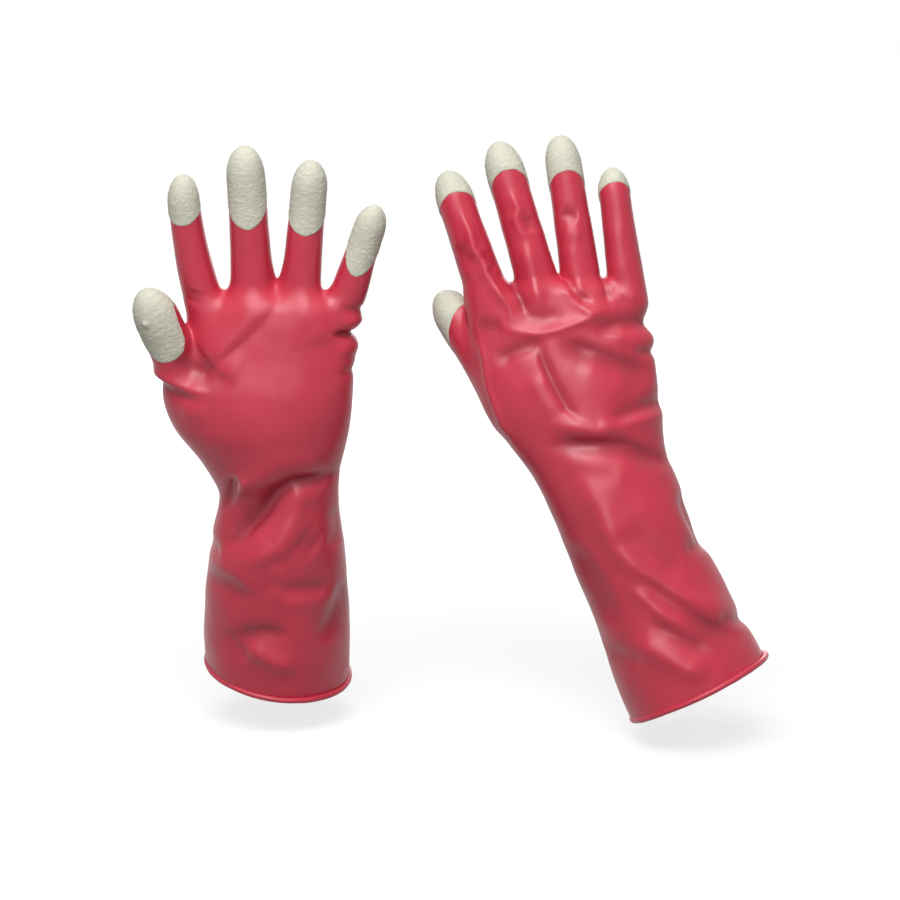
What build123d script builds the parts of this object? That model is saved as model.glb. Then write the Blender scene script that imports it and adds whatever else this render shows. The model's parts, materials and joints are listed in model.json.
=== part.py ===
"""A pair of household rubber gloves: red rubber film with pale gripping coats on the digit tips.

Millimetres, +Z up, -Y towards the viewer. The origin is the centre of the left glove's mouth.
The left glove shows its palm to the viewer and the right glove shows its back, both filled out
as on a raised hand. Each glove is one hollow film, parted where it folds: at the wrist and at
the root of every digit. A rolled bead stiffens the mouth, and a second dip coats each tip.
"""
import os
from dataclasses import dataclass

from build123d import *

FILM = 0.5  # wall of the dipped film
COAT = 0.5  # wall of the second dip on the digit tips
FOLD_GAP = 0.3  # play between two bodies at a fold line

MOUTH_RADIUS = 41.2  # outside of the film at the mouth
COLLAR_LENGTH = 9.0  # round, untapered stretch of film behind the mouth
BEAD_ROLL_RADIUS = 1.7  # section of the film rolled up on itself
BEAD_CENTRE_RADIUS = 41.7

CROWN_RISE = 6.0  # the palm closes over this height past its last section
CROWN_INSET = (5.0, 6.0)  # and narrows by this much in width and depth
ROOT_DEPTH = 24.0  # how far a stall's cone starts inside the palm
FOLD_HEIGHT = 6.0  # a finger's fold line above the crotch
FOLD_RADIUS = 4.5  # relief round a finger's fold line
FOLD_INSET = 1.5  # fold line's depth under the palm-side skin
COAT_MARGIN = 0.8  # the thumb's coat stops this far short of its fold
WRIST_RELIEF = 1.15  # wrist fold's relief radius over the wrist's half depth
FAR = 200.0  # longer than any digit or sleeve, for cutting tools


@dataclass
class Stall:
    """The sizes of a finger or thumb stall, shared by the two gloves."""

    length: float  # crotch to tip
    root_radius: float
    tip_radius: float
    coat_palm: float  # coat's length down from the tip, on the palm side
    coat_back: float  # and on the back


STALLS = {
    "index": Stall(63.0, 11.2, 9.6, 24.0, 13.0),
    "middle": Stall(75.0, 11.9, 10.2, 41.0, 17.0),
    "ring": Stall(70.0, 11.1, 9.4, 36.5, 20.0),
    "little": Stall(54.0, 9.9, 8.4, 34.5, 8.0),
    "thumb": Stall(58.0, 12.8, 11.2, 36.5, 18.0),
}


@dataclass
class Section:
    """One oval section of the hand: its centre, half width, half depth, lean and tilt."""

    x: float
    y: float
    z: float
    half_width: float
    half_depth: float
    lean: float = 0.0  # degrees, to the viewer's right
    tilt: float = 0.0  # degrees, towards the viewer


@dataclass
class Pose:
    """Where a digit's tip is and which way the digit points."""

    x: float
    y: float
    z: float
    lean: float
    tilt: float = 0.0


@dataclass
class Glove:
    side: str
    palm_side: int  # -1 where the palm faces the viewer, +1 where the back does
    place: Location
    mouth: Section
    arm: list
    wrist: Section
    palm: list
    digits: dict
    thumb_crotch: tuple
    thumb_fold_lean: float  # degrees, of the fold that runs down from the thumb's crotch


LEFT = Glove(
    side="left",
    palm_side=-1,
    place=Location((0, 0, 0)) * Rot(X=8),
    mouth=Section(0, 0, 0, MOUTH_RADIUS, MOUTH_RADIUS, lean=9.0, tilt=4.2),
    arm=[
        Section(0.6, -5.2, 30.0, 40.6, 39.0, lean=3, tilt=8),
        Section(1.6, -12.1, 65.0, 39.8, 35.0, tilt=11),
        Section(2.8, -17.0, 91.0, 37.0, 31.0, tilt=11),
    ],
    wrist=Section(4.0, -22.0, 118.0, 33.8, 26.5, tilt=6),
    palm=[
        Section(1.2, -22.4, 135.0, 38.8, 26.0),
        Section(-4.4, -22.6, 158.0, 49.4, 25.5),
        Section(-6.0, -22.5, 180.0, 52.0, 23.5),
        Section(-0.5, -22.3, 203.0, 47.6, 20.0),
        Section(3.5, -22.2, 228.0, 45.0, 12.0),
    ],
    digits={
        "index": Pose(-44.5, -22.2, 295.0, lean=-6.7),
        "middle": Pose(-10.1, -22.2, 310.5, lean=-1.4),
        "ring": Pose(26.0, -22.2, 303.0, lean=6.0),
        "little": Pose(60.3, -22.2, 279.0, lean=18.0),
        "thumb": Pose(-63.1, -38.0, 235.5, lean=-20.0, tilt=10.0),
    },
    thumb_crotch=(-43.5, 209.5),
    thumb_fold_lean=7.0,
)

RIGHT = Glove(
    side="right",
    palm_side=1,
    place=Location((241.3, -48.0, 0.6)) * Rot(X=-6),
    mouth=Section(0, 0, 0, MOUTH_RADIUS, MOUTH_RADIUS, lean=-26.2, tilt=-3.0),
    arm=[
        Section(-15.2, 0, 34.0, 38.8, 38.0, lean=-25),
        Section(-31.0, 0, 68.0, 36.6, 34.0, lean=-25),
        Section(-43.5, 0, 97.0, 36.6, 30.5, lean=-24),
    ],
    wrist=Section(-54.5, 0, 121.0, 37.6, 27.5, lean=-22),
    palm=[
        Section(-65.0, 0, 140.0, 41.8, 26.0, lean=-18),
        Section(-71.5, 0, 158.0, 47.2, 25.5, lean=-13),
        Section(-76.0, 0, 180.0, 49.6, 23.5, lean=-11),
        Section(-80.3, 0, 205.0, 49.6, 19.5, lean=-10),
        Section(-83.8, 0, 228.0, 46.0, 12.0, lean=-10),
    ],
    digits={
        "index": Pose(-143.6, 0, 289.5, lean=-19.3),
        "middle": Pose(-115.0, 0, 305.5, lean=-16.4),
        "ring": Pose(-80.3, 0, 309.5, lean=-8.9),
        "little": Pose(-51.8, 0, 292.4, lean=-7.7),
        "thumb": Pose(-145.5, 18.0, 223.0, lean=-31.0, tilt=-12.0),
    },
    thumb_crotch=(-130.0, 212.0),
    thumb_fold_lean=-8.0,
)


def section_plane(section):
    """The plane a section lies in, with its normal running up the hand."""
    placing = Location((section.x, section.y, section.z))
    return Plane(placing * Rot(Y=section.lean) * Rot(X=section.tilt))


def oval(section, grow):
    return section_plane(section) * Ellipse(section.half_width + grow, section.half_depth + grow)


def crown_face(last, grow):
    """The flat top of the palm, between the digits."""
    width = last.half_width - CROWN_INSET[0] + grow
    depth = last.half_depth - CROWN_INSET[1] + grow
    return section_plane(last).offset(CROWN_RISE + grow) * Ellipse(width, depth)


def hand_form(glove, grow):
    """The solid form of the arm and palm, from the mouth to the crown, thicker by grow."""
    mouth = section_plane(glove.mouth)
    rim = Circle(glove.mouth.half_width + grow)
    collar = extrude(mouth * rim, COLLAR_LENGTH)
    ovals = [oval(section, grow) for section in (*glove.arm, glove.wrist, *glove.palm)]
    top = crown_face(glove.palm[-1], grow)
    return collar + loft([mouth.offset(COLLAR_LENGTH) * rim, *ovals, top])


def digit_axes(glove, name):
    """A plane at a digit's crotch: X across it, Y to its back, Z along it."""
    pose = glove.digits[name]
    along = Vector(0, 0, 1).rotate(Axis.X, pose.tilt).rotate(Axis.Y, pose.lean)
    back = Vector(0, -glove.palm_side, 0)
    across = back.cross(along)
    root = Vector(pose.x, pose.y, pose.z) - along * STALLS[name].length
    return Plane(root, x_dir=across, z_dir=along)


def stall_form(axes, stall, grow):
    """A stall's solid form, from inside the palm to its round tip, thicker by grow."""
    straight = stall.length - stall.tip_radius
    taper = (stall.root_radius - stall.tip_radius) / straight
    base = (stall.root_radius + ROOT_DEPTH * taper + grow, -ROOT_DEPTH)
    tip = stall.tip_radius + grow
    with BuildSketch(Plane.XZ) as profile:
        with BuildLine():
            Polyline((0, -ROOT_DEPTH), base, (tip, straight))
            CenterArc((0, straight), tip, 0, 90)
            Line((0, straight + tip), (0, -ROOT_DEPTH))
        make_face()
    return axes * revolve(profile.sketch, Axis.Z)


def glove_form(glove, grow):
    """The solid form of the whole glove, with its five digits, thicker by grow all round."""
    form = hand_form(glove, grow)
    for name, stall in STALLS.items():
        form = form + stall_form(digit_axes(glove, name), stall, grow)
    return form


def glove_film(glove):
    """The hollow film of the whole glove, open at the mouth."""

    def open_form(form):
        mouth = form.faces().filter_by(GeomType.PLANE).sort_by(Axis.Z)[0]
        return mouth, [face for face in form.faces() if not face.is_same(mouth)]

    outer_mouth, outer_skin = open_form(glove_form(glove, 0.0))
    inner_mouth, inner_skin = open_form(glove_form(glove, -FILM))
    rim = Face(outer_mouth.outer_wire(), [inner_mouth.outer_wire()])
    return Solid(Shell([*outer_skin, *inner_skin, rim]))


def beyond_finger_fold(glove, name, play):
    """Everything of one finger past its fold line, bar a round relief about it."""
    stall = STALLS[name]
    taper = (stall.root_radius - stall.tip_radius) / (stall.length - stall.tip_radius)
    skin = stall.root_radius - FOLD_HEIGHT * taper
    width = 2 * (stall.root_radius + 1.0)
    block = Box(width, FAR, FAR, align=(Align.CENTER, Align.CENTER, Align.MIN))
    barrel = Rot(Y=90) * Cylinder(FOLD_RADIUS - play, FAR)
    past = Pos(0, FOLD_INSET - skin, FOLD_HEIGHT) * (Pos(0, 0, -play) * block - barrel)
    return digit_axes(glove, name) * past


def beyond_thumb_fold(glove, play):
    """Everything on the thumb's side of its crotch: below, past the fold; above, past the gap."""
    x, z = glove.thumb_crotch
    leans = [glove.digits[name].lean for name in ("index", "thumb")]
    block = Box(FAR, FAR, FAR, align=(Align.MAX, Align.CENTER, Align.CENTER))
    past_fold = Pos(x + play, 0, z) * Rot(Y=glove.thumb_fold_lean) * block
    past_gap = Pos(x + play, 0, z) * Rot(Y=sum(leans) / 2) * block
    return past_fold & past_gap


def beyond_fold(glove, name, play):
    if name == "thumb":
        return beyond_thumb_fold(glove, play)
    return beyond_finger_fold(glove, name, play)


def below_wrist(glove, play):
    """Everything on the arm's side of the wrist, bar a round relief about the wrist's centre."""
    relief = glove.wrist.half_depth * WRIST_RELIEF
    block = Box(FAR, FAR, FAR, align=(Align.CENTER, Align.CENTER, Align.MAX))
    barrel = Rot(Y=90) * Cylinder(relief - play, FAR)
    return section_plane(glove.wrist) * (block - barrel)


def tip_coat(axes, stall):
    """The second dip on a digit, cut off on a slant by the level of the bath."""
    middle = stall.length - (stall.coat_palm + stall.coat_back) / 2
    slope = (stall.coat_palm - stall.coat_back) / (2 * stall.tip_radius)
    bath = Plane((0, 0, middle), x_dir=(1, 0, 0), z_dir=(0, -slope, 1))
    dipped = bath * Box(FAR, FAR, FAR, align=(Align.CENTER, Align.CENTER, Align.MIN))
    return (stall_form(axes, stall, COAT) & axes * dipped) - stall_form(axes, stall, 0.0)


def rolled_bead(glove):
    """The ring rolled up from the mouth's edge, lying on the outside of the collar."""
    ring = Torus(BEAD_CENTRE_RADIUS, BEAD_ROLL_RADIUS)
    collar = Cylinder(MOUTH_RADIUS, 4 * BEAD_ROLL_RADIUS)
    return section_plane(glove.mouth).offset(BEAD_ROLL_RADIUS) * (ring - collar)


def build_glove(glove):
    """All the pieces of one glove, by name, in the glove's own frame."""
    film = glove_film(glove)
    pieces = {
        "rolled_bead": rolled_bead(glove),
        "cuff_sleeve": film & below_wrist(glove, 0.0),
    }
    palm = film - below_wrist(glove, FOLD_GAP)
    for name, stall in STALLS.items():
        coat = tip_coat(digit_axes(glove, name), stall)
        if name == "thumb":
            coat = coat & beyond_thumb_fold(glove, -COAT_MARGIN)
        pieces[f"{name}_coat"] = coat
        pieces[f"{name}_stall"] = palm & beyond_fold(glove, name, 0.0)
        palm = palm - beyond_fold(glove, name, FOLD_GAP)
    pieces["palm"] = palm
    return pieces


if __name__ == "__main__":
    os.makedirs("parts", exist_ok=True)
    for glove in (LEFT, RIGHT):
        for name, piece in build_glove(glove).items():
            export_step(glove.place * piece, f"parts/{glove.side}_{name}.step")
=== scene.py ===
"""Rubber gloves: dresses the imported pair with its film, fingertip coats, beads, finishes and stage."""
import json
from dataclasses import dataclass
from math import cos, pi, radians, sin

import bmesh
import bpy
import numpy as np
from bpy.props import FloatProperty, FloatVectorProperty, IntProperty, PointerProperty
from mathutils import Matrix, Vector, noise


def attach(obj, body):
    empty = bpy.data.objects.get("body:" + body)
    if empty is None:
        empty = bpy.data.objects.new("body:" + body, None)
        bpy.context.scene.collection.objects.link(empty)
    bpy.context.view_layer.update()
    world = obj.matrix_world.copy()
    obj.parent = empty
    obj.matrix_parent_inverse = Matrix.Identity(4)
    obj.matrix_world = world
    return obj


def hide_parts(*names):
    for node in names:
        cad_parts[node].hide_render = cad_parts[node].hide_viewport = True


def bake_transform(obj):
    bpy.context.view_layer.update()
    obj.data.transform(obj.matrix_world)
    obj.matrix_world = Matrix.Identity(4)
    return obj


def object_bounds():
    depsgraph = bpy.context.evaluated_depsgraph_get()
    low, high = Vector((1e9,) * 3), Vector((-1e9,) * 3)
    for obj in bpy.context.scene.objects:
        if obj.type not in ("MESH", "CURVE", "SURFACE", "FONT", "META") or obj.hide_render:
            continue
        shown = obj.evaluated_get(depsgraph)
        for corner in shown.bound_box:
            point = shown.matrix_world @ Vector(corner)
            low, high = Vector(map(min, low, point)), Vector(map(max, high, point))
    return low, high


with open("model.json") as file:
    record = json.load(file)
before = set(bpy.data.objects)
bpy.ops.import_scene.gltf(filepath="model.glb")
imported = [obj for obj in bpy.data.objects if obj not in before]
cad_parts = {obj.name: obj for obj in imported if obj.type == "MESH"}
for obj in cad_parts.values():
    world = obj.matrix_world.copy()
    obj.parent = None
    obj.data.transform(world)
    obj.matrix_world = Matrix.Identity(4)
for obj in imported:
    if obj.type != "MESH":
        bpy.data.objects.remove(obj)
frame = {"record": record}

bl_info = {
    "name": "Rubber Gloves",
    "version": (1, 0, 0),
    "blender": (4, 5, 0),
    "location": "View3D > Sidebar > Gloves",
    "description": "Builds a pair of filled household rubber gloves on a packed frame",
    "category": "Add Mesh",
}

CAD_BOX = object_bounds()
MM = 0.001
TINY = 1e-9  # keeps a division from failing

# The film's form, in millimetres.
TIP_STRETCH = 1.75  # length of a digit's rounded end over its radius
ROOT_DEPTH = 22.0  # how far a digit's form starts inside the palm
PAD_LENGTH = 9.0  # half the length of a digit's swollen pad
CROWN_ROUND = 8.0  # rounding of the palm's top edge
LEAST_SECTION = (5.0, 4.0)  # the least half width and half depth of the palm
TUBE_SIDES = 32
ROUND_END = (25, 50, 75)  # degrees round a rough digit's end at which it has a ring
SLOPE_STEP = 0.05  # step over which the form's slope is read
LEAST_SLOPE = 0.05  # least square of a slope, where two forms meet
LONGEST_MOVE = 2.5  # farthest that a point is drawn in one round
EVENING = 0.6  # share of the way to its neighbours' middle that a point moves

# The film's folds and unevenness, in millimetres.
FOLD_CORE = 0.65  # share of a rounded fold's height in its narrow middle
FOLD_SKIRT = 2.2  # width of the rest over the middle's
CREASE_FALL = 1.6  # how fast a creased fold falls away
FACE_FALL = 1.6  # how fast a fold fades as the skin turns to the other side
FOLD_FADE = 0.3  # share of a fold's length over which each end fades
FOLD_END = 0.08  # share of its height left at its ends
FULL_SHADE_DEPTH = 3.0  # depth at which a valley's painted shade is darkest
SWELLS = (0.9, 30.0)  # height and size of the film's slow swells
RIPPLES = (0.2, 11.0)  # and of its ripples
CALM_REACH = 12.0  # the swells die down this near to a digit
CALM_LEAST = 0.25  # to this share

# Seams, in millimetres.
ON_PLANE = 1e-5  # points this near to a cut lie on it
ON_LEVEL = 1e-4  # and this near to a coat's level or to another point of a bead
PAST_SEAM = -1e-4  # a face this far past a seam is beyond it
THUMB_CUT = (3.0, 4.0)  # how far each of the thumb's two cuts passes their corner, and its reach
FINGER_CUT = 6.0  # how far a finger's cut goes out past its root's radius
FINGER_SPAN = 3.0  # and how far out a face is still the finger's

# The coats and beads, in millimetres.
COAT_WAVE = (0.55, 6.0, 4.0)  # height and size of the edge's waves, and how soon they fade
COAT_SINK = 0.05  # the coat's inner face under the film's outer one
CREPE = (  # stretch across, to the palm side and along the digit, and detail
    ((0.33, 0.33, 1.0), 3.0),
    ((0.8, 0.8, 0.5), 2.0),
)
CREPE_RISE = 4.0  # how steeply the coat rises from a crinkle's valley
BEAD_SIDES = {"Ring Radius": 240, "Roll Radius": 20}
BEAD_WANDER = 0.05  # waves of the bead's unevenness for each millimetre
DROP_AT = (45.0, 5.0, 12.0)  # along, across and to the palm side from the thumb's root
DROP_SIZE = (1.3, 1.8)  # height and radius


# The hand's measures, in millimetres, in each glove's own frame: its origin at the centre of the
# mouth, Z up the hand, -Y towards the viewer.


@dataclass
class Section:
    """One oval section of the arm or palm."""

    x: float
    y: float
    z: float
    half_width: float
    half_depth: float
    lean: float = 0.0


@dataclass
class Digit:
    """One finger or thumb stall, by its tip and the way it points."""

    name: str
    tip: tuple
    lean: float
    length: float
    root_radius: float
    tip_radius: float
    coat_palm: float
    coat_back: float
    tilt: float = 0.0
    web: float = 6.0  # radius of the web where the stall leaves the palm
    bow: float = 2.0  # how far the stall curls towards the palm
    pad: float = 0.3  # how much its pad swells
    roll: float = 0.0  # degrees its palm side is turned about its own length
    sway: float = 0.0  # how far it curves sideways, towards +x, by its tip


@dataclass
class Fold:
    """A soft ridge (height above 0) or valley (below 0) along a line of points (x, z)."""

    line: list
    height: float
    width: float
    face: int = -1  # -1 on the viewer's side, +1 on the far side, 0 all round
    sharp: float = 0.0  # from 0, rounded, to 1, creased
    lop: float = 1.0  # how much wider it is on the left of its line than on the right


@dataclass
class Glove:
    side: str
    palm_side: int
    turn: float  # degrees the whole glove leans towards the viewer
    mouth_lean: float
    mouth_tilt: float
    sections: list
    digits: list
    thumb_crotch: tuple
    thumb_fold_lean: float
    crown: tuple  # the palm's top between the fingers: x, z and slope there
    folds: list


LEFT = Glove(
    side="left",
    palm_side=-1,
    turn=8.0,
    mouth_lean=9.0,
    mouth_tilt=4.2,
    sections=[
        Section(-0.2, 4.0, -22.0, 41.9, 41.4),
        Section(0.0, -0.6, 4.0, 41.8, 41.4),
        Section(0.6, -5.2, 30.0, 42.0, 39.6),
        Section(1.4, -10.9, 60.0, 40.6, 35.6),
        Section(2.8, -17.0, 91.0, 37.2, 31.5),
        Section(4.0, -20.0, 118.0, 33.8, 24.0),
        Section(1.0, -21.6, 135.0, 39.2, 26.6),
        Section(-4.4, -24.0, 158.0, 49.6, 29.0),
        Section(-5.7, -24.2, 178.0, 52.5, 27.4),
        Section(-0.6, -23.2, 200.0, 49.1, 22.4),
        Section(4.2, -22.4, 222.0, 42.2, 17.6),
        Section(5.5, -22.2, 236.0, 38.0, 12.8),
    ],
    digits=[
        Digit("index", (-44.2, -22.2, 296.8), -13.0, 65.0, 10.4, 8.2, 25.0, 13.0, web=6.0, sway=6.2),
        Digit("middle", (-10.1, -22.2, 312.5), -2.0, 76.0, 11.6, 9.7, 42.0, 17.0, web=9.0),
        Digit("ring", (26.1, -22.2, 304.6), 6.0, 70.5, 10.7, 9.1, 38.5, 20.0, web=9.0),
        Digit("little", (60.6, -22.2, 279.8), 18.0, 54.0, 9.9, 8.0, 36.5, 8.0, web=6.0),
        Digit("thumb", (-64.8, -38.0, 237.6), -20.5, 60.0, 13.2, 11.8, 40.0, 18.0, 10.0, web=4.0),
    ],
    thumb_crotch=(-43.5, 209.5),
    thumb_fold_lean=7.0,
    crown=(5.0, 229.8, 0.0),
    folds=[
        # across the palm
        Fold([(-38, 192), (-22, 205), (-3, 222), (8, 236)], 1.9, 4.6, lop=2.4),
        Fold([(-35, 190), (-14, 207), (7, 229)], -1.5, 2.6),
        Fold([(12, 224), (30, 220), (32, 204)], 1.6, 10.0),
        Fold([(-44, 208), (-34, 198), (-27, 191), (-14, 184)], -1.7, 3.6, lop=0.5),
        Fold([(-28, 202), (-12, 192)], 1.0, 6.5),
        Fold([(-40, 226), (-37, 236)], -1.2, 4.0),
        # at the thumb's base
        Fold([(-68, 194), (-54, 187), (-42, 182), (-28, 181)], 2.6, 2.8, sharp=0.2),
        Fold([(-52, 199), (-40, 193), (-26, 191)], -2.2, 4.0),
        Fold([(-66, 187), (-52, 179), (-36, 176)], -2.2, 2.6),
        Fold([(-48, 171), (-30, 169)], 1.4, 5.0),
        # pinches below the little finger
        Fold([(39, 225), (66, 220)], -1.6, 2.2, 0),
        Fold([(40, 218), (66, 213)], 1.3, 2.4, 0),
        Fold([(35, 211.5), (62, 207.5)], -4.6, 2.0, 0),
        Fold([(36, 202), (60, 200)], 1.0, 3.0, 0),
        Fold([(38, 190), (62, 186)], -1.4, 2.4, 0),
        # the wrist: the hand hangs over the sleeve
        Fold(
            [(46, 131), (26, 129), (14, 128), (5, 122), (-1, 113), (-10, 104), (-18, 95), (-32, 89)],
            -5.4, 4.0, lop=0.8,
        ),
        Fold([(38, 141), (8, 140), (-9, 130), (-18, 114)], 2.6, 8.0),
        Fold([(36, 119), (17, 119), (13, 106), (5, 92), (-8, 85), (-24, 82)], 3.0, 5.4),
        Fold([(15, 98), (28, 88)], -2.0, 6.0),
        Fold([(38, 112), (36, 84)], -1.8, 4.6),
        Fold([(-17, 135), (-21, 122), (-26, 108)], -3.2, 2.4),
        Fold([(-11, 134), (-16, 120)], 1.8, 2.4),
        # down the sleeve
        Fold([(-40, 76), (-28, 78), (-16, 74), (-4, 63)], 1.5, 4.4, lop=1.5),
        Fold([(-42, 66), (-24, 66), (-10, 58)], -1.9, 4.6),
        Fold([(-46, 84), (-26, 86)], -1.8, 4.0),
        Fold([(2, 69), (20, 65), (36, 62)], -2.4, 6.0, lop=0.7),
        Fold([(0, 59), (26, 58), (40, 60)], 2.2, 5.6),
        Fold([(2, 84), (8, 72), (2, 56)], 1.6, 5.0),
        Fold([(-22, 33), (-13, 39), (-2, 41), (11, 37)], -2.9, 4.4, lop=0.8),
        Fold([(-18, 32), (-9, 28), (2, 22), (16, 17)], 3.0, 5.0),
        Fold([(-28, 40), (-21, 31), (-12, 21)], -1.6, 4.2),
        Fold([(45, 66), (36, 46), (27, 28)], -2.4, 5.6),
        # on the back of the hand and sleeve
        Fold([(34, 213), (10, 208), (-26, 214)], 1.6, 5.0, 1),
        Fold([(36, 204), (8, 198), (-24, 205)], -1.6, 4.5, 1),
        Fold([(36, 128), (6, 126), (-26, 132)], -2.6, 4.0, 1),
        Fold([(34, 118), (2, 116), (-24, 122)], 1.6, 4.5, 1),
        Fold([(-30, 84), (-4, 76), (24, 84)], -2.0, 5.0, 1),
        Fold([(30, 60), (2, 50), (-20, 34)], 2.0, 5.0, 1),
        Fold([(22, 46), (0, 34), (-14, 22)], -1.8, 4.0, 1),
    ],
)

RIGHT = Glove(
    side="right",
    palm_side=1,
    turn=-6.0,
    mouth_lean=-26.2,
    mouth_tilt=-3.0,
    sections=[
        Section(16.0, 0, -36.0, 41.3, 41.2, -26),
        Section(0.0, 0, 0.0, 41.2, 41.2, -26),
        Section(-15.2, 0, 34.0, 38.8, 38.5, -25),
        Section(-31.0, 0, 68.0, 36.8, 34.5, -25),
        Section(-43.5, 0, 97.0, 36.6, 30.5, -24),
        Section(-54.5, 0, 121.0, 37.6, 27.5, -22),
        Section(-65.0, 0, 140.0, 41.8, 26.0, -18),
        Section(-71.8, 0, 158.0, 47.2, 25.5, -13),
        Section(-76.0, 0, 180.0, 49.6, 23.5, -11),
        Section(-80.3, 0, 205.0, 49.6, 19.0, -10),
        Section(-83.0, 0, 222.0, 47.6, 16.0, -10),
        Section(-85.4, 0, 236.0, 42.0, 12.4, -10),
    ],
    digits=[
        Digit("index", (-143.6, 0, 290.5), -19.3, 63.5, 11.6, 10.0, 30.0, 12.0, web=7.0),
        Digit("middle", (-115.0, 0, 306.8), -16.4, 75.5, 11.7, 10.2, 38.0, 15.5, web=5.0),
        Digit("ring", (-80.3, 0, 310.3), -8.9, 70.5, 10.9, 9.4, 38.0, 19.5, web=3.0),
        Digit("little", (-51.3, 0, 292.4), -7.7, 54.0, 10.0, 8.3, 23.0, 6.0, web=3.0),
        Digit(
            "thumb", (-145.5, 18.0, 224.0), -31.0, 58.5, 12.8, 11.4, 36.5, 14.0, -12.0,
            web=5.0, roll=38.0,
        ),
    ],
    thumb_crotch=(-130.0, 212.0),
    thumb_fold_lean=-8.0,
    crown=(-84.0, 229.6, 0.08),
    folds=[
        # down the fingers and over the knuckles
        Fold(
            [
                (-137, 273), (-130, 256), (-128, 247), (-122, 239),
                (-121, 233), (-115, 224), (-108, 215), (-107, 203),
            ],
            3.7, 2.5, sharp=0.4,
        ),
        Fold([(-138, 250), (-132, 243), (-129, 236)], -1.2, 3.4),
        Fold([(-124, 246), (-114, 236)], -1.2, 3.0),
        Fold([(-109, 281), (-103, 269), (-105, 264), (-101, 256), (-97, 250)], 2.0, 2.2, sharp=0.2),
        Fold([(-99, 266), (-96, 256)], -1.8, 3.0),
        Fold([(-101, 254), (-96, 236), (-91, 210)], 2.5, 3.6),
        Fold([(-80, 268), (-70, 264)], -2.0, 3.0),
        Fold([(-80, 256), (-67, 254)], 1.0, 4.0),
        Fold([(-76, 254), (-69, 218)], 1.4, 3.4),
        Fold([(-50, 264), (-46, 226)], 1.0, 3.4),
        # between and across the knuckles
        Fold([(-108, 232), (-102, 220), (-99, 211)], -3.2, 2.8),
        Fold([(-77, 233), (-71, 222), (-62, 217)], -2.4, 2.8, lop=0.6),
        Fold([(-81, 231), (-73, 219), (-64, 212), (-52, 214)], 2.2, 2.6, sharp=0.2),
        Fold([(-57, 236), (-53, 217)], -1.9, 1.9),
        Fold([(-50, 224), (-36, 219)], 1.3, 3.0),
        Fold(
            [(-116, 207), (-106, 202), (-93, 200), (-80, 203), (-66, 208), (-46, 215)],
            2.0, 2.6, sharp=0.4, lop=1.2,
        ),
        Fold([(-106, 214), (-90, 209), (-76, 212)], -1.8, 4.0),
        Fold([(-128, 206), (-118, 204), (-111, 206)], -2.0, 4.0),
        Fold([(-118, 184), (-106, 191), (-88, 198)], -2.6, 3.8),
        Fold([(-86, 197), (-66, 192), (-42, 183), (-24, 178)], -3.8, 4.8, lop=0.7),
        Fold([(-64, 202), (-46, 207), (-20, 206)], -3.2, 3.6, 0),
        Fold([(-58, 200), (-38, 197), (-16, 198)], 1.6, 4.2, 0),
        Fold([(-40, 190), (-16, 191)], -2.0, 2.4, 0),
        # tendons and the back of the hand
        Fold([(-92, 198), (-90, 186), (-84, 172), (-77, 160), (-66, 152)], -2.8, 2.2, lop=1.5),
        Fold([(-95, 180), (-91, 166), (-82, 153)], 1.5, 5.0),
        Fold([(-72, 182), (-40, 170)], 1.4, 12.0),
        Fold([(-56, 150), (-38, 158), (-18, 165)], -3.6, 4.4),
        # the wrist
        Fold([(-94, 153), (-78, 150), (-60, 147), (-42, 153), (-14, 158)], 3.0, 4.4, 0),
        Fold(
            [(-92, 138), (-76, 140), (-60, 140), (-44, 139), (-32, 134), (-12, 126)],
            -4.4, 4.2, 0, lop=0.8,
        ),
        Fold([(-84, 130), (-60, 128), (-34, 121)], 1.4, 7.0),
        Fold([(-76, 126), (-60, 124), (-46, 122)], -0.9, 4.4),
        Fold([(-76, 112), (-58, 111), (-50, 98), (-48, 82)], 2.6, 9.0),
        # down the sleeve
        Fold([(-46, 96), (-34, 88), (-22, 76), (-10, 66)], -1.4, 6.0),
        Fold([(-66, 122), (-58, 104), (-50, 84), (-37, 70), (-24, 61), (-6, 51), (24, 42)], 3.8, 5.6),
        Fold([(-44, 72), (-20, 55), (2, 41), (22, 31)], -4.2, 4.0, lop=0.7),
        Fold([(-45, 64), (-34, 56), (-22, 46), (-6, 37)], 2.8, 3.8),
        Fold([(-34, 45), (-14, 34), (6, 26)], -2.6, 3.8),
        Fold([(-76, 88), (-62, 64), (-48, 36)], -2.4, 5.4),
        Fold([(-54, 27), (-46, 22), (-34, 18)], -1.5, 5.0),
        Fold([(-42, 34), (-28, 27), (-12, 18), (4, 14)], 3.4, 5.4),
        Fold([(-14, 116), (-6, 98), (4, 80)], -3.0, 3.0, 0),
        Fold([(-14, 82), (14, 84)], -2.2, 4.0, 0),
        Fold([(4, 44), (34, 40)], -2.6, 3.6, 0),
        # the thumb's web
        Fold([(-127, 206), (-122, 186), (-120, 172), (-112, 150), (-102, 136)], 1.8, 2.0, sharp=0.5),
        # on the palm's side
        Fold([(-46, 216), (-70, 206), (-96, 190), (-104, 168)], -1.8, 3.6, 1),
        Fold([(-40, 196), (-64, 186), (-84, 172)], -1.4, 3.6, 1),
        Fold([(-34, 140), (-56, 136), (-88, 142)], -3.0, 4.0, 1),
        Fold([(-30, 128), (-54, 124), (-80, 130)], 1.8, 4.6, 1),
        Fold([(-64, 92), (-40, 84), (-10, 90)], -2.0, 5.0, 1),
        Fold([(-56, 60), (-26, 48), (8, 52)], 2.0, 5.0, 1),
        Fold([(-40, 38), (-14, 28), (14, 34)], -1.8, 4.4, 1),
    ],
)

GLOVES = (LEFT, RIGHT)


# Placing and small helpers


def turning(lean, tilt):
    return Matrix.Rotation(radians(lean), 4, "Y") @ Matrix.Rotation(radians(tilt), 4, "X")


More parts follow.
